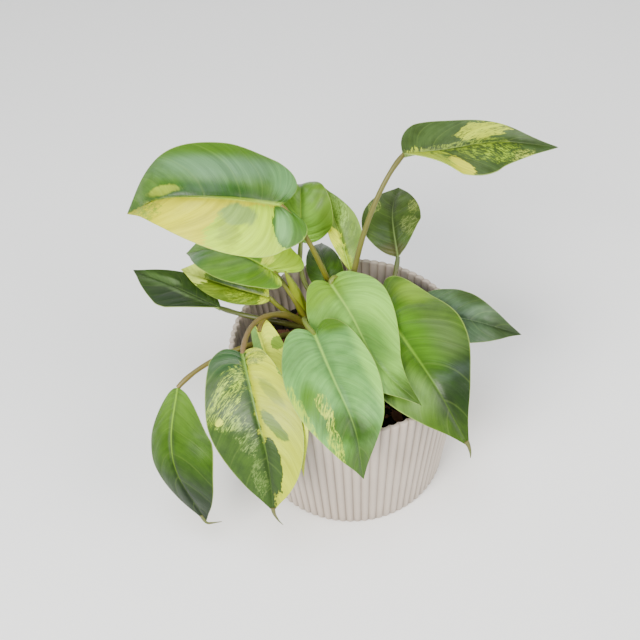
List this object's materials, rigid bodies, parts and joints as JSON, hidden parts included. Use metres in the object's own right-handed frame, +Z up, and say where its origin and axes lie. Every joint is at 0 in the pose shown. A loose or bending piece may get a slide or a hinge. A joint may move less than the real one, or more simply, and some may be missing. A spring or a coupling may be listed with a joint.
{
  "type": "potted philodendron",
  "caption": "Variegated heart-leaved philodendron growing in a round ribbed pot filled with bark soil.",
  "frame": {"origin": "centre of the pot's underside, which is its foot", "axes": "+Z up, -Y towards the side that the largest front leaves hang over"},
  "size_m": [0.2591, 0.198, 0.1975],
  "materials": {
    "pot": "satin",
    "soil": "rough bark soil",
    "stalk": "smooth satin",
    "green_leaf": "waxy satin",
    "dark_leaf": "waxy satin",
    "pale_leaf": "waxy satin",
    "yellow_leaf": "waxy satin",
    "sheath": "dry matt"
  },
  "bodies": {
    "root": {"pot": "pot", "soil": "soil", "stem_left": "stalk", "stem_back": "stalk", "stem_right": "stalk", "blade_upper_left": "yellow_leaf", "blade_upper_middle": "green_leaf", "blade_upper_slim": "yellow_leaf", "blade_upper_right": "yellow_leaf", "blade_back_round": "dark_leaf", "blade_inner_dark": "dark_leaf", "blade_centre": "pale_leaf", "blade_front": "pale_leaf", "blade_right_broad": "green_leaf", "blade_right_dark": "dark_leaf", "blade_left_dark": "dark_leaf", "blade_left_green": "green_leaf", "blade_left_yellow": "yellow_leaf", "blade_front_left": "yellow_leaf", "blade_front_hidden": "yellow_leaf", "blade_far_left": "green_leaf", "rolled_leaf": "yellow_leaf", "dry_sheath": "sheath", "green_sheath": "yellow_leaf"}
  },
  "joints": []
}
